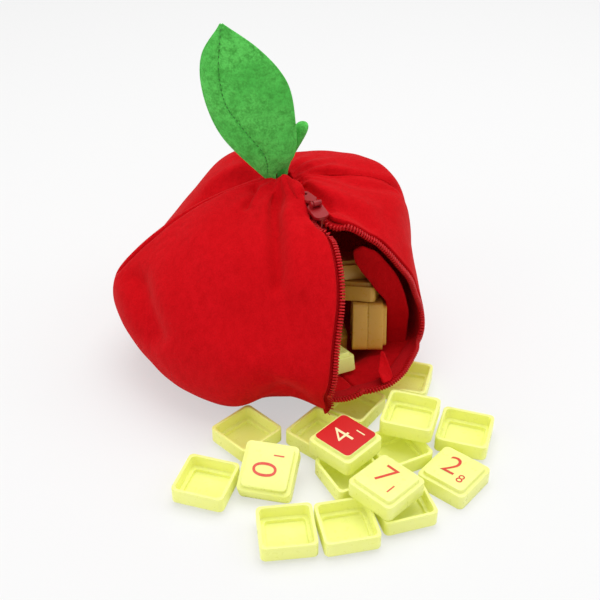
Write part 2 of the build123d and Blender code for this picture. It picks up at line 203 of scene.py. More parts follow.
# By azimuth about the stem: radius and height of crest, shoulder, belly, hem, underside and rest.
front_left = {
    left_seam: ((16, 74), (45, 60.3), (68, 38.5), (64, 14), (50, 3.2), (26, 0)),
    -146.0: ((18, 73.5), (45.5, 60.5), (67, 36), (63, 12), (49, 2.8), (26, 0)),
    -125.0: ((20, 73), (46, 60), (66, 32), (63, 10.5), (50, 2.6), (26, 0)),
    -106.0: ((22, 72.5), (46, 60.5), (66, 32), (63, 11), (50, 4), (26, 0)),
    -90.0: ((23, 72), (46, 61), (66.5, 33.5), (64, 21.5), (57, 12), (32, 0)),
    -72.0: ((26, 71.5), (50, 63), (68, 32), (65.5, 13.5), (50, 9.5), (37, 0)),
    zip_seam: ((26, 72), (49, 64), (66, 34), (65, 13), (47, 8.4), (38, 0)),
}
front_right = {
    zip_seam: front_left[zip_seam],
    -50.0: ((26, 72.5), (46, 66), (65, 36), (66, 13), (46.5, 8.4), (38, 0)),
    -38.0: ((24, 73), (47, 63), (62, 36), (63.5, 13.5), (46.5, 8.4), (37, 0)),
    -24.0: ((22, 74), (46, 62.5), (58.5, 34), (60, 14), (45, 7.5), (35, 0)),
    -8.0: ((20, 74), (45, 64.5), (53, 38), (52, 15), (42, 4.5), (27, 0)),
    right_seam: ((19, 74.5), (45, 66), (52.5, 40), (50, 15), (39, 3), (24, 0)),
}
back_right = {
    right_seam: front_right[right_seam],
    25.0: ((20, 75), (44, 68.5), (53, 40), (49, 14), (38, 2.6), (23, 0)),
    50.0: ((20, 74), (41, 67.5), (52, 40), (49, 14), (37, 2.6), (22, 0)),
    75.0: ((18, 73), (37, 65), (49, 40), (48, 14), (36, 2.6), (22, 0)),
    back_seam: ((16, 73.5), (34, 63.5), (48, 40), (47, 14), (36, 2.6), (22, 0)),
}
back_left = {
    back_seam: back_right[back_seam],
    125.0: ((18, 77), (37, 68), (50, 40), (48, 14), (38, 2.6), (23, 0)),
    150.0: ((19, 75), (37, 63.2), (53, 37), (53, 13), (42, 2.8), (25, 0)),
    171.0: ((18, 72), (38, 58), (56, 35), (56, 13), (45, 3), (26, 0)),
    185.0: ((16, 72), (41, 57), (62, 35), (61, 13), (48, 3.2), (26, 0)),
    left_seam + 360: front_left[left_seam],
}
last_row = 7.0              # rows of a meridian, counted from the dimple
seam_groove, seam_width = 1.0, 2.2
pleats, pleat_depth, pleat_end = 15, 0.8, 1.5
roll_depth, roll_width = 8.5, (2.2, 7.5)    # the front left gore rolls over its neighbour at the left seam
roll_top, roll_rows = 0.35, 2.6


def curve_through(points, at):
    """Point on a smooth curve through others, at a place counted in points."""
    last = len(points) - 1
    i = min(int(at), last - 1)
    t = at - i
    p1, p2 = Vector(points[i]), Vector(points[i + 1])
    p0 = Vector(points[i - 1]) if i else 2 * p1 - p2
    p3 = Vector(points[i + 2]) if i + 2 <= last else 2 * p2 - p1
    return p1 + t / 2 * (p2 - p0 + t * (2 * p0 - 5 * p1 + 4 * p2 - p3 + t * (3 * p1 - p0 - 3 * p2 + p3)))


def meridian_at(gore, azimuth):
    """Meridian of a gore at an azimuth, between the given ones."""
    keys = sorted(gore)
    last = len(keys) - 1
    i = min(sum(azimuth > key for key in keys[1:]), last - 1)
    span = keys[i + 1] - keys[i]
    t = (azimuth - keys[i]) / span
    shape = []
    for column in range(len(gore[keys[0]])):
        value = [Vector(gore[key][column]) for key in keys]
        slope_in, slope_out = (
            (value[min(j + 1, last)] - value[max(j - 1, 0)])
            / (keys[min(j + 1, last)] - keys[max(j - 1, 0)]) * span
            for j in (i, i + 1)
        )
        step = value[i + 1] - value[i]
        bend = (1 - t) * (slope_in - step) + t * (step - slope_out)
        shape.append(value[i] + t * step + t * (1 - t) * bend)
    return shape


def pouch_point(gore, azimuth, row):
    """Point on the outside of the pouch, with the seams' grooves and the pleats round the dimple."""
    shape = [Vector(dimple), *meridian_at(gore, azimuth), Vector(patch_ring)]
    if row <= last_row - 2:
        radius, height = curve_through(shape[:-2], row)
    else:
        i = min(int(row), int(last_row) - 1)
        radius, height = shape[i].lerp(shape[i + 1], row - i)
    from_seam = min(abs(radians(azimuth - seam)) * radius for seam in (min(gore), max(gore)))
    sunk = seam_groove * exp(-((from_seam / seam_width) ** 2)) * min(row, 1) * min(max(5.2 - row, 0), 1)
    if gore in (front_left, back_left):
        from_roll = abs(radians((azimuth - left_seam) % 360 - (360 if gore is back_left else 0))) * radius
        reach = roll_width[0] if gore is front_left else roll_width[1]
        fullness = sin(pi * min(max(row - roll_top, 0) / roll_rows, 1)) ** 0.7
        sunk += roll_depth * exp(-((from_roll / reach) ** 2)) * fullness
    if row < pleat_end:
        sunk += pleat_depth * (1 + sin(pleats * radians(azimuth) + row)) / 2 * sin(pi * row / pleat_end)
    slant = min(max((row - 0.6) / 2, 0), 1) * pi / 2
    radius, height = radius - sunk * sin(slant), height - sunk * cos(slant)
    return Vector((radius * cos(radians(azimuth)), radius * sin(radians(azimuth)), height))


# The mouth: the teeth pass through these points down each side, as seen along the way it faces.
mouth_azimuth, mouth_tilt = radians(-50), radians(25)
left_teeth = (
    (14.7, -27.6, 71), (21, -43, 66), (23.8, -55, 55), (22, -65, 38), (18.6, -66, 22), (16.8, -61, 9),
)
right_teeth = (
    (14.7, -27.6, 71), (34.3, -31.2, 64), (44.3, -31.3, 54), (51.2, -27, 38), (53, -24, 29), (51, -31, 9),
)
tape_shown = 2.3            # from the fleece's edge to the middle of the teeth
slot_start, slot_end, slot_ramp = 21.1, 36.5, 1.5       # by distance from the stem's axis
chain_start, chain_end, chain_ramp = 22.5, 27.0, 2.6
chain_parted = 1.8          # the rows stand this far apart beside the slider, to let its neck through
lip_at = 4.16               # the row that the lip of the mouth runs along, just under the hem
mouth_across = Vector((-sin(mouth_azimuth), cos(mouth_azimuth), 0))
mouth_way = Vector(
    (cos(mouth_tilt) * cos(mouth_azimuth), cos(mouth_tilt) * sin(mouth_azimuth), sin(mouth_tilt))
)
mouth_up = mouth_way.cross(mouth_across)


def mouth_side(points, outwards):
    """One side of the mouth's outline, in its own plane, moved out to the fleece's edge."""
    flat = [Vector((Vector(p).dot(mouth_across), Vector(p).dot(mouth_up))) for p in points]
    moved = [flat[0] + Vector((0, tape_shown / sin(radians(50))))]
    for before, here, after in zip(flat, flat[1:], [*flat[2:], flat[-1] - Vector((0, 1))]):
        way = (after - before).normalized()
        moved.append(here + outwards * tape_shown * Vector((way.y, -way.x)))
    return [curve_through(moved, i / 20) for i in range(20 * (len(moved) - 1) + 1)]


outline = {"left": mouth_side(left_teeth, 1), "right": mouth_side(right_teeth, -1)}


def past_mouth(point, side):
    """How far a point lies past one side of the mouth, in the mouth's plane."""
    across, up = point.dot(mouth_across), point.dot(mouth_up)
    line = outline[side]
    if up >= line[0].y:
        return 1.0
    i = next((i for i, p in enumerate(line) if p.y < up), len(line) - 1)
    a, b = line[i - 1], line[i]
    edge = a.x + (b.x - a.x) * (up - a.y) / (b.y - a.y)
    return (edge - across) if side == "left" else (across - edge)


def mouth_edge(side, row):
    """Azimuth of the fleece's edge on one side of the zipper, at a row."""
    gore, way = (front_left, -1) if side == "left" else (front_right, 1)
    middle = pouch_point(gore, zip_seam, row)
    radius = hypot(middle.x, middle.y)
    parted = 0.0
    if row <= lip_at and radius > slot_start and row > 0.5:
        widening = min((radius - slot_start) / slot_ramp, 1)
        if radius < slot_end:
            clear = chain_parted * min(max((radius - chain_end) / chain_ramp, 0), 1)
            parted = degrees(asin((tape_shown * widening + clear) / radius))
        if past_mouth(middle, side) < 0:
            low, high = 0.0, 60.0
            for _ in range(24):
                turn = (low + high) / 2
                if past_mouth(pouch_point(gore, zip_seam + way * turn, row), side) < 0:
                    low = turn
                else:
                    high = turn
            parted = max(parted, low)
    return zip_seam + way * parted


# Folds as the photograph shows them, by pixel: each has its line, its width in pixels and its rise.
folds = (
    (((284, 184), (297, 198), (308, 214), (314, 228)), 6.0, 4.2),       # roll of fleece over the zipper's top
    (((294, 174), (306, 188), (318, 200), (330, 209)), 4.5, -2.4),      # valley on its far side
    (((276, 196), (275, 225), (277, 285)), 7.0, -3.6),                  # soft crease down the front
    (((288, 215), (296, 240), (300, 290)), 11.0, 2.2),
    (((254, 187), (250, 196), (246, 206)), 3.0, -2.4),                  # pucker beside the leaf
    (((232, 200), (215, 215), (196, 240)), 12.0, 1.0),
    (((136, 280), (142, 305), (152, 335)), 12.0, -4.6),                 # dent in the left cheek
    (((170, 300), (200, 340), (240, 365)), 22.0, 1.2),
    (((296, 168), (331, 176), (359, 184), (396, 189)), 4.5, -1.1),      # creases from the stem to the right
    (((300, 180), (322, 200), (350, 212), (372, 228)), 5.0, -1.4),
    (((310, 188), (340, 196), (372, 208)), 7.0, 1.0),
    (((330, 168), (360, 173), (390, 180)), 4.0, 0.9),
    (((245, 164), (225, 174), (205, 190)), 6.0, 1.0),
    (((262, 376), (280, 384), (300, 392)), 6.0, -1.2),                  # lifted hem
    (((408, 250), (413, 300), (414, 340)), 5.0, 0.8),
)
# The fleece lies flat beside the slider, as far as it runs.
slider_middle = Vector((13.4, -25.2, 71.6))
slider_way, slider_out = Vector((0.459, -0.864, -0.208)), Vector((0.098, -0.184, 0.978))
slider_run, slider_room = 6.0, 7.0
bag_middle = Vector((0, 0, 35))
slump, slump_size = 0.9, 26.0
ripple, ripple_size = 0.35, 9.0


def crumple(bm):
    """Moves a mesh of the pouch out and in along its folds and the slump of the fleece."""
    bm.normal_update()
    moves = []
    for vert in bm.verts:
        out, co = vert.normal, vert.co
        rise = slump * noise.noise(co / slump_size) + ripple * noise.noise(co / ripple_size)
        facing = out.dot((camera_place - co).normalized())
        if facing > 0.05 and co.z > 4:
            at = Vector(seen(co))
            for line, width, height in folds:
                near = 9e9
                for a, b in zip(line, line[1:]):
                    a, b = Vector(a), Vector(b)
                    t = min(max((at - a).dot(b - a) / (b - a).length_squared, 0), 1)
                    near = min(near, (at - a.lerp(b, t)).length)
                if near < 2.5 * width:
                    rise += height * exp(-((near / width) ** 2)) * min((facing - 0.05) * 5, 1)
        run = min(max((co - slider_middle).dot(slider_way), 0), slider_run)
        rise *= min((co - slider_middle - slider_way * run).length / slider_room, 1) ** 2
        rise *= min(max(co.z / 12, 0), 1)
        moves.append(out * rise)
    for vert, move in zip(bm.verts, moves):
        vert.co += move


def face_outwards(bm):
    """Turns the faces of a mesh of the pouch away from the middle of the bag."""
    bmesh.ops.recalc_face_normals(bm, faces=bm.faces)
    if sum(face.normal.dot(face.calc_center_median() - bag_middle) for face in bm.faces) < 0:
        bmesh.ops.reverse_faces(bm, faces=bm.faces)


def ease(bm, verts, factor, turns):
    """Smooths some of a mesh's vertices, a number of times."""
    for _ in range(turns):
        bmesh.ops.smooth_vert(bm, verts=verts, factor=factor, use_axis_x=True, use_axis_y=True, use_axis_z=True)


def make_piece(name, bm, finish, body="pouch", replaces=()):
    """Turns a mesh made in millimetres into a piece that rides on a body."""
    bmesh.ops.scale(bm, vec=(MM, MM, MM), verts=bm.verts)
    mesh = bpy.data.meshes.new(name)
    bm.to_mesh(mesh)
    bm.free()
    mesh.shade_smooth()
    mesh.materials.append(finish.material)
    piece = bpy.data.objects.new(name, mesh)
    bpy.context.collection.objects.link(piece)
    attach(piece, body)
    if replaces:
        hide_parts(*replaces)
    return piece


def thicken(piece, thickness, offset=-1.0, rounds=1, crease=0.0):
    """Gives a sheet its thickness and rounds its edges, except where a crease holds its outer one."""
    wall = piece.modifiers.new("thickness", "SOLIDIFY")
    wall.thickness, wall.offset, wall.edge_crease_outer = thickness * MM, offset, crease
    soft = piece.modifiers.new("soft", "SUBSURF")
    soft.levels = soft.render_levels = rounds


fleece_finish = Finish(
    "red_fleece", Roughness=0.92, Specular_IOR_Level=0.08, Sheen_Weight=0.14, Sheen_Roughness=0.4,
    Sheen_Tint=(1.0, 0.22, 0.20, 1),
)
nap = fleece_finish.noise(1500, 3, 0.7)
brushed = fleece_finish.noise(420, 3, 0.6, (1, 1, 0.45))
mottle = fleece_finish.noise(45, 3, 0.55)
fleece_red, fleece_bright = (0.58, 0.0022, 0.006, 1), (0.62, 0.003, 0.008, 1)
# The deeper red is painted shade, laid into the hollows of the nap where its bump runs low.
fleece_shade_red = (0.50, 0.001, 0.004, 1)
shaded = fleece_finish.mix(fleece_finish.spread(mottle, 0.3, 0.7), fleece_red, fleece_bright)
nap_hollow_shade = fleece_finish.spread(brushed * 0.5 + nap * 0.5, 0.66, 0.30)
fleece_finish.colour(fleece_finish.mix(nap_hollow_shade, shaded, fleece_shade_red))
fleece_finish.relief(nap * 0.7 + brushed, 0.0006, 0.4)

rows_up, rows_under = 70, 22
side_columns, lip_columns = (70, 46), (8, 22)
edges = {
    side: [mouth_edge(side, lip_at * i / rows_up) for i in range(rows_up + 1)] for side in ("left", "right")
}
counts = (side_columns[0], lip_columns[0], lip_columns[1], side_columns[1])
columns, rows = sum(counts), rows_up + rows_under
front = bmesh.new()
bmesh.ops.create_grid(front, x_segments=columns, y_segments=rows, size=0.5)
front.verts.ensure_lookup_table()
knots = {}
for vert in front.verts:
    i, j = round((vert.co.x + 0.5) * columns), round((vert.co.y + 0.5) * rows)
    knots[i, j] = vert
    row = lip_at * j / rows_up if j <= rows_up else lip_at + (last_row - lip_at) * (j - rows_up) / rows_under
    at = min(j, rows_up)
    bounds = (left_seam, edges["left"][at], zip_seam, edges["right"][at], right_seam)
    left_over = i
    for part, count in enumerate(counts):
        if left_over <= count:
            break
        left_over -= count
    azimuth = bounds[part] + (bounds[part + 1] - bounds[part]) * left_over / count
    vert.co = pouch_point(front_left if part < 2 else front_right, azimuth, row)
left_edge, right_edge = counts[0], sum(counts[:3])
gone = [knots[i, j] for i in range(left_edge + 1, right_edge) for j in range(rows_up)]
bmesh.ops.delete(front, geom=gone, context="VERTS")
face_outwards(front)
crumple(front)

# The front left gore ends in a drooping point at the lip. It faces the front, so that its teeth show.
tip_place, tip_reach, lip_reach, lip_blend = seen_at(323, 409, -62), 9.0, 2.5, 3.0
tip_facing, tip_rows = Vector((0.10, -0.85, 0.50)).normalized(), 14
tip_start = knots[left_edge, rows_up].co.copy()
tip_move = tip_place - tip_start
for vert in front.verts:
    away = vert.co - tip_start
    to_right = min(max(away.x / lip_blend, 0), 1)
    reach = tip_reach + (lip_reach - tip_reach) * to_right
    vert.co += tip_move * exp(-((away.length / reach) ** 2))

# The corner at the right end of the lip is round, so the edge is eased there, and the fleece beside it.
rim = [knots[left_edge, j] for j in range(rows_up)]
rim += [knots[i, rows_up] for i in range(left_edge, right_edge + 1)]
rim += [knots[right_edge, j] for j in range(rows_up - 1, -1, -1)]
corner = rows_up + right_edge - left_edge
corner_reach, corner_turns, corner_ease, corner_area = 9, 40, 0.6, 16
near_corner = range(corner - corner_reach, corner + corner_reach)
for _ in range(corner_turns):
    eased = [(rim[k - 1].co + rim[k + 1].co) / 2 for k in near_corner]
    for k, place in zip(near_corner, eased):
        rim[k].co = rim[k].co.lerp(place, corner_ease)
on_rim = set(rim)
inner = [v for v in front.verts if v not in on_rim and not v.is_boundary]
ease(front, [v for v in inner if (v.co - rim[corner].co).length < corner_area], 0.5, 8)
front.normal_update()
rim_points = [v.co.copy() for v in rim]
rim_normals = [v.normal.copy() for v in rim]
rim_normals[rows_up - tip_rows:rows_up + 1] = [tip_facing] * (tip_rows + 1)
normal_turns = 25
for _ in range(normal_turns):
    for first, last in ((0, rows_up), (rows_up + 1, len(rim) - 1)):
        eased = []
        for k in range(first, last + 1):
            beside = rim_normals[max(k - 1, first):min(k + 1, last) + 1]
            eased.append(sum(beside, Vector()).normalized())
        rim_normals[first:last + 1] = eased
fleece_tree = BVHTree.FromBMesh(front)

gores = {}
for name, on_left in (("gore_front_left", True), ("gore_front_right", False)):
    bm = front.copy()
    others = []
    for face in bm.faces:
        centre = face.calc_center_median()
        if (degrees(atan2(centre.y, centre.x)) < zip_seam) != on_left:
            others.append(face)
    bmesh.ops.delete(bm, geom=others, context="FACES")
    gores[name] = bm
for name, gore in (("gore_back_left", back_left), ("gore_back_right", back_right)):
    bm = bmesh.new()
    bmesh.ops.create_grid(bm, x_segments=62, y_segments=rows, size=0.5)
    first, last = min(gore), max(gore)
    for vert in bm.verts:
        azimuth = first + (last - first) * (vert.co.x + 0.5)
        vert.co = pouch_point(gore, azimuth, last_row * (vert.co.y + 0.5))
    face_outwards(bm)
    crumple(bm)
    gores[name] = bm
gore_flats = {
    "gore_front_left": (0.125, 0.150), "gore_back_left": (0.095, 0.150),
    "gore_back_right": (0.085, 0.150), "gore_front_right": (0.075, 0.150),
}
cut_share, hem_crease = 0.98, 0.9
for name, bm in gores.items():
    area = sum(face.calc_area() for face in bm.faces) * MM * MM
    gore = make_piece(name + "_cloth", bm, fleece_finish, replaces=(name,))
    thicken(gore, fleece, crease=hem_crease)
    width, length = gore_flats[name]
    min(area * cut_share, width * length)
front.free()

bm = bmesh.new()
bmesh.ops.create_circle(bm, cap_ends=True, segments=48, radius=patch_ring[0] - 0.3)
bmesh.ops.inset_region(bm, faces=bm.faces, thickness=3, depth=0)
bmesh.ops.translate(bm, verts=bm.verts, vec=(0, 0, 0.05))
patch = make_piece("base_patch_cloth", bm, fleece_finish, replaces=("base_patch",))
thicken(patch, fleece, 1.0)

# ---- zipper -------------------------------------------------------------------------------------
# Nylon zipper in red: on each side a woven tape, sewn behind the fleece, carries a row of moulded teeth.
# The right-hand row runs on round the lip of the mouth to the point of the front left gore.
tape_thickness, tape_width, tape_hidden, tape_past_teeth = 0.6, 10.2, 4.9, 0.6
tape_sunk, tape_risen = fleece + 0.45, 1.9      # below the fleece's face: sewn behind it, and past its edge
tooth_pitch, tooth_length, tooth_width, tooth_thick, tooth_edge = 1.1, 0.68, 2.0, 1.8, 0.2
tooth_sunk, lip_sunk, lip_columns_in = 1.0, 0.8, 8     # on the lip, the teeth lie deeper by so much
tape_under_slider, teeth_under_slider = 2.3, 1.9
slider_behind, slider_ahead, slider_blend = 10.0, 8.0, 3.0
tape_finish = Finish(
    "zipper_tape", Roughness=0.85, Specular_IOR_Level=0.12, Sheen_Weight=0.05, Sheen_Tint=(1.0, 0.2, 0.2, 1)
)
weave = tape_finish.noise(2600, 2, 0.6, (1, 1, 0.3))
tape_finish.colour(tape_finish.mix(weave, (0.34, 0.001, 0.003, 1), (0.54, 0.003, 0.008, 1)))
tape_finish.relief(weave, 0.0003, 0.6)
nylon_finish = Finish("zipper_nylon", Roughness=0.42, Specular_IOR_Level=0.25)
nylon_wear = nylon_finish.noise(700, 2, 0.5)
nylon_finish.colour(nylon_finish.mix(nylon_wear, (0.46, 0.002, 0.005, 1), (0.60, 0.004, 0.010, 1)))


def along(points, step, start=0.0):
    """Places every step along a run of points, with the share of the span that each falls on."""
    places, left = [], start
    for i, (a, b) in enumerate(zip(points, points[1:])):
        span = (b - a).length
        while left <= span:
            places.append((i, left / span))
            left += step
        left -= span
    return places


def beside_slider(place, depth):
    """Place moved to a depth under the slider's plane: fully beside the slider, and less farther off."""
    away = place - slider_middle
    run = min(max(away.dot(slider_way), -slider_behind), slider_ahead)
    share = min(max((slider_room - (away - slider_way * run).length) / slider_blend, 0), 1)
    return place - slider_out * (away.dot(slider_out) + depth) * share


tip = rows_up
chain_low = 60              # the closed chain lies above this height
rim_sides = {"left": range(tip + 1), "right": range(tip + 2, len(rim_points))}
for side, order in rim_sides.items():
    shown = [k for k in order if rim_points[k].xy.length > slot_start or rim_points[k].z < chain_low]
    points, frames = [rim_points[k] for k in shown], []
    for k in shown:
        before, after = rim_points[max(k - 1, order[0])], rim_points[min(k + 1, order[-1])]
        way = (after - before).normalized()
        out = rim_normals[k]
        frames.append((way, out, out.cross(way).normalized()))

    bm = bmesh.new()
    rails = []
    reaches = (-tape_hidden, -3.0, -1.5, 0.0, tape_shown / 2, tape_shown, tape_shown + tape_past_teeth)
    for point, (way, out, inwards) in zip(points, frames):
        rail = []
        for reach in reaches:
            place = point + inwards * reach
            if reach < 0:
                near, normal, _, _ = fleece_tree.find_nearest(place)
                behind = near - normal * tape_sunk
                place = min(behind, beside_slider(behind, tape_under_slider), key=lambda at: at.z)
            else:
                place = beside_slider(place - out * tape_risen, tape_under_slider)
            rail.append(bm.verts.new(place))
        rails.append(rail)
    for one, two in zip(rails, rails[1:]):
        for a, b, c, d in zip(one, one[1:], two[1:], two):
            bm.faces.new((a, b, c, d))
    ease(bm, bm.verts, 0.4, 3)
    bmesh.ops.recalc_face_normals(bm, faces=bm.faces)
    length = sum((b - a).length for a, b in zip(points, points[1:]))
    area = sum(face.calc_area() for face in bm.faces) * MM * MM
    replaced = (f"zipper_tape_{side}",)
    tape = make_piece(f"zipper_tape_{side}_woven", bm, tape_finish, replaces=replaced)
    thicken(tape, tape_thickness, 0.0)

    bm = bmesh.new()
    for i, share in along(points, tooth_pitch, 0.4 if side == "left" else 0.4 + tooth_pitch / 2):
        way, out, inwards = (a.lerp(b, share).normalized() for a, b in zip(frames[i], frames[i + 1]))
        on_lip = min(max((corner - shown[i]) / lip_columns_in, 0), 1) if side == "right" else 0
        place = points[i].lerp(points[i + 1], share) + inwards * tape_shown
        place -= out * (tooth_sunk + lip_sunk * on_lip)
        if hypot(place.x, place.y) < chain_start and place.z > chain_low:
            continue
        place = beside_slider(place, teeth_under_slider)
        turn = Matrix((inwards, way, out)).transposed().to_4x4()
        size = Matrix.Diagonal((tooth_width, tooth_length, tooth_thick, 1))
        bmesh.ops.create_cube(bm, size=1, matrix=Matrix.Translation(place) @ turn @ size)
    bmesh.ops.bevel(bm, geom=bm.edges, offset=tooth_edge, segments=1, profile=0.5, affect="EDGES", material=-1)
    bmesh.ops.recalc_face_normals(bm, faces=bm.faces)
    replaced = (f"zipper_teeth_{side}",)
    make_piece(f"zipper_teeth_{side}_row", bm, nylon_finish, replaces=replaced)

# ---- lining fold and tape end -------------------------------------------------------------------
# A loose fold of the lining hangs inside the right edge of the mouth, and the end of a tape lies on its floor.
# Each is drawn as the photograph shows it: across and down in pixels, and its depth, for its two edges.
lining_fold = (
    ((353, 249, -26), (362, 245, -28)), ((354, 262, -25), (376, 251, -28)), ((364, 276, -24), (390, 265, -26)),
    ((375, 290, -23), (400, 280, -25)), ((386, 301, -22), (406, 296, -24)), ((386, 314, -21), (409, 311, -23)),
    ((386, 331, -21), (408, 328, -23)), ((384, 347, -22), (405, 345, -24)),
)
tape_end = (
    ((381, 351, -43), (384, 352, -44)), ((379, 362, -46), (389, 364, -46)), ((377, 372, -50), (394, 376, -47)),
    ((383, 384, -53), (390, 381, -51)),
)
strip_ripple, strip_ripple_size, strip_thickness = 0.6, 7, 1.2
noise.seed_set(7)           # a ripple by vector differs from run to run without it
for name, strip, flat in (
    ("lining_fold", lining_fold, (0.0105, 0.046)),
    ("tape_end", tape_end, (0.010, 0.014)),
):
    bm = bmesh.new()
    sides = [[bm.verts.new(seen_at(*place)) for place in station] for station in strip]
    for (a, b), (c, d) in zip(sides, sides[1:]):
        bm.faces.new((a, b, d, c))
    bmesh.ops.subdivide_edges(bm, edges=bm.edges, cuts=2, use_grid_fill=True)
    for vert in bm.verts:
        vert.co += strip_ripple * noise.noise_vector(vert.co / strip_ripple_size)
    area = sum(face.calc_area() for face in bm.faces) * MM * MM
    bmesh.ops.recalc_face_normals(bm, faces=bm.faces)
    strip_piece = make_piece(name, bm, fleece_finish)
    thicken(strip_piece, strip_thickness, 0.0, 2)
    area = min(area, flat[0] * flat[1])

# ---- slider, pull and stop ----------------------------------------------------------------------
# Cast metal slider with its pull, and the stop above it, all enamelled in the zipper's red. Their solids are
# shown as they are, in a finish that is a little chipped.
enamel_finish = Finish(
    "red_enamel", Roughness=0.42, Specular_IOR_Level=0.35, Coat_Weight=0.12, Coat_Roughness=0.3
)
chips = enamel_finish.noise(900, 4, 0.7)
enamel_finish.colour(enamel_finish.mix(chips, (0.28, 0.002, 0.004, 1), (0.36, 0.003, 0.008, 1)))
enamel_finish.relief(chips, 0.0001, 0.3)
for name in ("zipper_slider", "zipper_pull", "zipper_top_stop"):
    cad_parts[name].data.materials.clear()
    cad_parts[name].data.materials.append(enamel_finish.material)

# ---- leaf and stem ------------------------------------------------------------------------------
# Two plies of short green plush, sewn together round the edge and down the vein, so that each half is
# plump. The tab at the foot is caught in the gathers on top of the pouch, in front of the stuffed stem.
leaf_foot, leaf_bow, leaf_face, leaf_ply = (-4.3, 75.6), 80.0, -3.7, 1.5
leaf_left = ((-3.3, -0.4), (-18, 14.8), (-24.2, 30.8), (-24, 45.8), (-16.2, 58.6))
leaf_right = ((1.8, 0.2), (9.2, 7.6), (9.6, 22), (6.6, 37.1), (-2.9, 49.2), (-16.2, 58.6))
leaf_vein = ((-0.8, 0.0), (-2.2, 8.8), (-10.5, 20.3), (-16.2, 29.5), (-17.8, 42.3), (-16.2, 58.6))
leaf_tab, leaf_tab_length = 3.6, 5.5
leaf_puff, leaf_rim, leaf_gap, leaf_curl = 1.5, 0.055, 0.35, 1.6
leaf_ripple, leaf_ripple_size = 0.35, 9
plush_finish = Finish(
    "green_plush", Roughness=0.9, Specular_IOR_Level=0.12, Sheen_Weight=0.35, Sheen_Roughness=0.4,
    Sheen_Tint=(0.55, 1.0, 0.45, 1),
)
pile = plush_finish.noise(1300, 3, 0.7)
tufts = plush_finish.noise(380, 3, 0.6)
worn = plush_finish.noise(60, 2, 0.5)
plush = plush_finish.mix(plush_finish.spread(worn, 0.35, 0.7), (0.088, 0.56, 0.085, 1), (0.135, 0.68, 0.12, 1))
# Where the pile's bump runs low the green goes darker: painted shade in the hollows between the tufts.
plush_finish.colour(
    plush_finish.mix(plush_finish.spread(pile * 0.5 + tufts * 0.5, 0.62, 0.34), plush, (0.06, 0.36, 0.05, 1))
)
plush_finish.relief(pile * 0.5 + tufts, 0.0008, 0.6)


def leaf_point(along_leaf, across, side, lift=0.0):
    """Point on a face of the leaf: along from foot to tip, across from -1 at the left edge to 1, vein at 0."""
    left = curve_through(leaf_left, along_leaf * (len(leaf_left) - 1))
    right = curve_through(leaf_right, along_leaf * (len(leaf_right) - 1))
    vein = curve_through(leaf_vein, along_leaf * (len(leaf_vein) - 1))
    x, z = vein.lerp(left if across < 0 else right, abs(across))
    plump = leaf_puff * max(sin(pi * min(abs(across), 1 - leaf_rim) / (1 - leaf_rim)), 0) ** 0.55
    plump *= min(along_leaf * 5, 1) * min((1 - along_leaf) * 4, 1)
    plump += leaf_ripple * noise.noise(Vector((x, z, 7 * side)) / leaf_ripple_size)
    x, z = x + leaf_foot[0], z + leaf_foot[1]
    flat = leaf_face + leaf_ply + leaf_bow - (leaf_bow ** 2 - (x - leaf_foot[0]) ** 2) ** 0.5
    flat += leaf_curl * sin(along_leaf * pi * 0.9) * (abs(across) - 0.35)
    return Vector((x, flat + side * (leaf_gap + plump + lift), z))


for name, side in (("leaf_front", -1), ("leaf_back", 1)):
    bm = bmesh.new()
    bmesh.ops.create_grid(bm, x_segments=44, y_segments=56, size=1)
    for vert in bm.verts:
        across, up = vert.co.x, (vert.co.y + 1) / 2
        vert.co = leaf_point(0.004 + 0.992 * up, across, side)
    bmesh.ops.recalc_face_normals(bm, faces=bm.faces)
    if sum(f.normal.y for f in bm.faces) * side < 0:
        bmesh.ops.reverse_faces(bm, faces=bm.faces)
    foot_edge = [e for e in bm.edges if e.is_boundary and all(v.co.z < leaf_foot[1] + 0.55 for v in e.verts)]
    grown = bmesh.ops.extrude_edge_only(bm, edges=foot_edge)["geom"]
    for vert in (v for v in grown if isinstance(v, bmesh.types.BMVert)):
        vert.co.z -= leaf_tab_length
        vert.co.x = min(max(vert.co.x, -leaf_tab / 2), leaf_tab / 2)
    ply = make_piece(name + "_plush", bm, plush_finish, replaces=(name,))
    thicken(ply, 0.7)

bm = bmesh.new()
stitch_count, stitch_size = 34, (0.34, 0.34, 1.15)
for k in range(1, stitch_count):
    up = k / stitch_count
    place, ahead = leaf_point(up, 0, -1, 0.25), leaf_point(min(up + 0.01, 1), 0, -1, 0.25)
    turn = (ahead - place).to_track_quat("Z", "Y").to_matrix().to_4x4()
    bmesh.ops.create_icosphere(
        bm, subdivisions=1, radius=0.5,
        matrix=Matrix.Translation(place) @ turn @ Matrix.Diagonal((*stitch_size, 1)),
    )
thread_finish = Finish("green_thread", Roughness=0.6, Base_Color=(0.035, 0.20, 0.03, 1))
thread_finish.relief(thread_finish.noise(3000), 0.0001, 0.5)
make_piece("leaf_stitching", bm, thread_finish)

stem_sections = (
    (0, 2.1, 70, 2.1), (0, 2.1, 75, 2.1), (1.8, 4.2, 79.6, 2.2), (4.8, 5.4, 85, 2.6),
    (7.0, 6.1, 90, 3.2), (7.8, 6.3, 92.4, 2.6), (8.1, 6.4, 93.5, 1.2),
)
bm = bmesh.new()
rings = []
for x, y, z, radius in stem_sections:
    place = Matrix.Translation((x, y, z))
    ring = bmesh.ops.create_circle(bm, segments=20, radius=radius, matrix=place)["verts"]
    ring_edges = {e for v in ring for e in v.link_edges}
    if rings:
        bmesh.ops.bridge_loops(bm, edges=list(rings[-1] | ring_edges))
    rings.append(ring_edges)
bmesh.ops.holes_fill(bm, edges=bm.edges)
bmesh.ops.recalc_face_normals(bm, faces=bm.faces)
stem = make_piece("stem_plush", bm, plush_finish, replaces=("stem",))
soft = stem.modifiers.new("soft", "SUBSURF")
soft.levels = soft.render_levels = 2

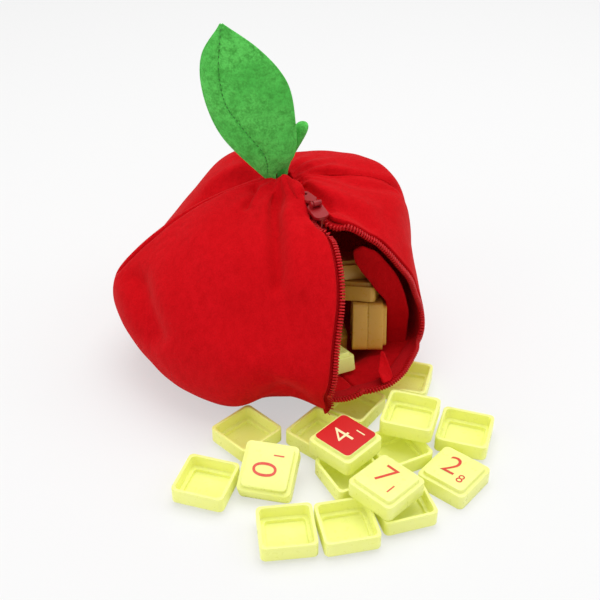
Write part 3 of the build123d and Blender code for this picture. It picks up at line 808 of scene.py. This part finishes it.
# ---- tiles --------------------------------------------------------------------------------------
# Small square tiles, moulded in a clear lime-yellow plastic. Each has a raised face on top and a recess
# underneath that takes the raised face of the next, so that they stack.
tile_side, tile_corner, skirt_height = 19.0, 1.9, 5.9
face_inset, face_corner, face_height = 1.4, 1.6, 1.5
tile_rim, tile_roof, tile_edge = 1.2, 1.3, 0.32
tile_height = skirt_height + face_height


def lime_plastic(name, low, high, glow):
    """Clear lime plastic, smooth where it is handled; its glow stands for the light that passes through it."""
    plastic = Finish(
        name, Specular_IOR_Level=0.4, Subsurface_Weight=0.3, Subsurface_Radius=(1.0, 1.0, 0.3),
        Subsurface_Scale=0.004, Emission_Color=(0.9, 1.0, 0.10, 1), Emission_Strength=glow,
    )
    plastic.colour(plastic.mix(plastic.noise(60, 2, 0.5), low, high))
    handled = plastic.noise(500, 3, 0.6)
    plastic.feed(plastic.shader.inputs["Roughness"], plastic.spread(handled, 0.2, 0.9) * 0.15 + 0.25)
    return plastic


tile_finish = lime_plastic("lime_plastic", (0.83, 0.86, 0.24, 1), (0.87, 0.89, 0.34, 1), 0.07)
# The tiles inside the pouch take an amber copy of the plastic with no glow: painted shade, and painted red
# light from the fleece round them.
shaded_finish = lime_plastic("lime_plastic_in_shade", (0.70, 0.38, 0.055, 1), (0.74, 0.43, 0.075, 1), 0.0)


def rounded_square(bm, side, radius):
    """Square face with rounded corners."""
    corners = bmesh.ops.create_grid(bm, x_segments=1, y_segments=1, size=side / 2)["verts"]
    bmesh.ops.bevel(bm, geom=corners, offset=radius, segments=5, profile=0.5, affect="VERTICES", material=-1)
    return bm.faces[:]


def tile_mesh():
    """One tile, standing on its rim with its raised face up, its wall drawn from the recess outwards."""
    bm = bmesh.new()
    face_side, recess = tile_side - 2 * face_inset, tile_side - 2 * tile_rim
    inner = face_side - 2 * tile_rim
    floor = rounded_square(bm, inner, tile_corner * inner / tile_side)
    bmesh.ops.translate(bm, verts=bm.verts, vec=(0, 0, tile_height - tile_roof))
    last_side, edge = inner, floor[0].edges[:]
    for side, height in (
        (inner, skirt_height - tile_roof),
        (recess, skirt_height - tile_roof),
        (recess, 0),
        (tile_side, 0),
        (tile_side, skirt_height),
        (face_side, skirt_height),
        (face_side, tile_height),
    ):
        drawn = bmesh.ops.extrude_edge_only(bm, edges=edge)["geom"]
        verts = [v for v in drawn if isinstance(v, bmesh.types.BMVert)]
        edge = [e for e in drawn if isinstance(e, bmesh.types.BMEdge)]
        bmesh.ops.scale(bm, verts=verts, vec=(side / last_side, side / last_side, 1))
        bmesh.ops.translate(bm, verts=verts, vec=(0, 0, height - verts[0].co.z))
        last_side = side
    bmesh.ops.edgeloop_fill(bm, edges=edge)
    bmesh.ops.recalc_face_normals(bm, faces=bm.faces)
    sharp = [e for e in bm.edges if e.calc_face_angle() > 1.0]
    bmesh.ops.bevel(
        bm, geom=sharp, offset=tile_edge, segments=3, profile=0.5, affect="EDGES", clamp_overlap=True,
        material=-1,
    )
    return bm


def turned(x, y, z, tilt=0, roll=0, turn=0):
    """Placement: moved, then tilted about X, rolled about Y and turned about Z, each in the last one's axes."""
    place = Matrix.Translation((x, y, z))
    for angle, axis in ((tilt, "X"), (roll, "Y"), (turn, "Z")):
        place = place @ Matrix.Rotation(radians(angle), 4, axis)
    return place


def flat_tile(x, y, turn, upturned, low=0.0):
    """Placement of a tile that lies flat, either way up."""
    if upturned:
        return turned(x, y, low + tile_height, 180, 0, -turn)
    return turned(x, y, low, 0, 0, turn)


stack_gap = 0.3
second = tile_height + stack_gap    # height of a tile that lies on others
leaning, pair_lean = 24.5, 20.0
pair = turned(33.3, -20, 19.9, -pair_lean)
lip_turn = degrees(atan2(-37.5, 16.5))
tile_places = {
    "tile_01": flat_tile(-12.5, -69, 45, True),
    "tile_02": flat_tile(-25.5, -94, -17, True),
    "tile_03": (
        turned(-3.5, -90, stack_gap + sin(radians(leaning)) * tile_side / 2, 0, 0, -12.6)
        @ turned(0, 0, 0, leaning)
    ),
    "tile_04": flat_tile(14.5, -69.5, 50, True),
    "tile_05": flat_tile(23, -81.5, 47, False, second),
    "tile_06": flat_tile(36, -102.5, 45, False, second),
    "tile_07": flat_tile(60.8, -90, 50, False),
    "tile_08": flat_tile(2.6, -116.5, 7, True),
    "tile_09": flat_tile(22.5, -114, 12, True),
    "tile_10": flat_tile(41.5, -104.5, 17, True),
    "tile_11": flat_tile(47, -68, -17.6, True, second),
    "tile_12": flat_tile(67.3, -68.6, -17.8, True),
    "tile_13": flat_tile(27, -53.5, 55, True),
    "tile_14": flat_tile(42, -78, 27, True),
    "tile_15": flat_tile(48, -38.5, -16, True),
    "tile_16": flat_tile(24.5, -89.5, 28, True),
    "tile_inside_1": pair @ turned(-skirt_height, 0, 0, 0, 90),
    "tile_inside_2": pair @ turned(0, 0, 0, 0, 90),
    "tile_inside_3": pair @ turned(-4.3, 3, tile_side / 2 + stack_gap, 0, 0, -15),
    "tile_inside_4": pair @ turned(-9, 6, tile_side / 2 + stack_gap + second, 0, 0, 20),
    "tile_inside_5": turned(15.5, -15, 2.5, 0, 0, 8),
    "tile_inside_6": turned(15.5, -15, 2.5 + skirt_height, 0, 0, 8),
    "tile_inside_7": turned(16.5, -37.5, 9.8, 0, 0, lip_turn) @ turned(0, 0, 0, 0, -18),
}
lifted = ("tile_02", "tile_03", "tile_05", "tile_06", "tile_07", "tile_08", "tile_11", "tile_12")
pattern = tile_mesh()
for name, place in tile_places.items():
    bm = pattern.copy()
    bmesh.ops.transform(bm, matrix=place, verts=bm.verts)
    body = name if name in lifted else "pouch"
    plastic = shaded_finish if "inside" in name and name != "tile_inside_7" else tile_finish
    tile = make_piece(name + "_moulding", bm, plastic, body, (name,))
    tile.data.set_sharp_from_angle(angle=radians(60))
pattern.free()

# ---- numerals -----------------------------------------------------------------------------------
# Each shown face carries a printed numeral with its score beside it, in red ink, or in cream on one face
# that is printed red all over. The ink stands a little proud of the plastic.
numeral_height, score_height, print_thickness, print_thin = 9.0, 4.0, 0.06, 0.12
print_gap, digit_share, red_border = 0.02, 0.72, 0.5
face_side = tile_side - 2 * face_inset


def print_finish(name, low, high):
    """Printing ink with a little wear in its colour."""
    ink = Finish(name, Roughness=0.35)
    ink.colour(ink.mix(ink.noise(1200, 3, 0.6), low, high))
    return ink


red_ink = print_finish("red_ink", (0.66, 0.035, 0.015, 1), (0.80, 0.07, 0.03, 1))
red_face = print_finish("red_face", (0.60, 0.006, 0.006, 1), (0.66, 0.010, 0.010, 1))
cream_ink = print_finish("cream_ink", (0.93, 0.80, 0.42, 1), (0.96, 0.87, 0.52, 1))
for tile, numeral, score, turn, ink in (
    ("tile_03", "0", "1", 90, red_ink),
    ("tile_05", "4", "1", 0, cream_ink),
    ("tile_06", "7", "1", -90, red_ink),
    ("tile_07", "2", "8", -90, red_ink),
):
    on_face = tile_places[tile] @ turned(0, 0, tile_height, 0, 0, turn)
    height = print_gap
    if ink is cream_ink:
        bm = bmesh.new()
        plate = rounded_square(bm, face_side - red_border, face_corner)
        lifted_face = bmesh.ops.extrude_face_region(bm, geom=plate)["geom"]
        bmesh.ops.translate(
            bm, verts=[v for v in lifted_face if isinstance(v, bmesh.types.BMVert)], vec=(0, 0, print_thickness)
        )
        bmesh.ops.recalc_face_normals(bm, faces=bm.faces)
        bmesh.ops.transform(bm, matrix=on_face, verts=bm.verts)
        make_piece(f"{tile}_red_face", bm, red_face, tile).data.set_sharp_from_angle(angle=0.6)
        height += print_thickness
    for part, text, size, shift in (
        ("numeral", numeral, numeral_height, (-1.2, 0.3)),
        ("score", score, score_height, (4.4, -3.4)),
    ):
        letters = bpy.data.curves.new(f"{tile}_{part}_text", "FONT")
        letters.body, letters.size, letters.extrude = text, size / digit_share, print_thickness / 2
        letters.offset = -print_thin if part == "numeral" else -print_thin / 4
        letters.align_x, letters.align_y = "CENTER", "CENTER"
        words = bpy.data.objects.new(f"{tile}_{part}_text", letters)
        bpy.context.collection.objects.link(words)
        bpy.context.view_layer.update()
        bm = bmesh.new()
        finished = words.evaluated_get(bpy.context.evaluated_depsgraph_get())
        bm.from_mesh(bpy.data.meshes.new_from_object(finished))
        bpy.data.objects.remove(words)
        bmesh.ops.transform(bm, matrix=on_face @ turned(*shift, height + print_thickness / 2), verts=bm.verts)
        make_piece(f"{tile}_{part}", bm, ink, tile).data.set_sharp_from_angle(angle=0.6)
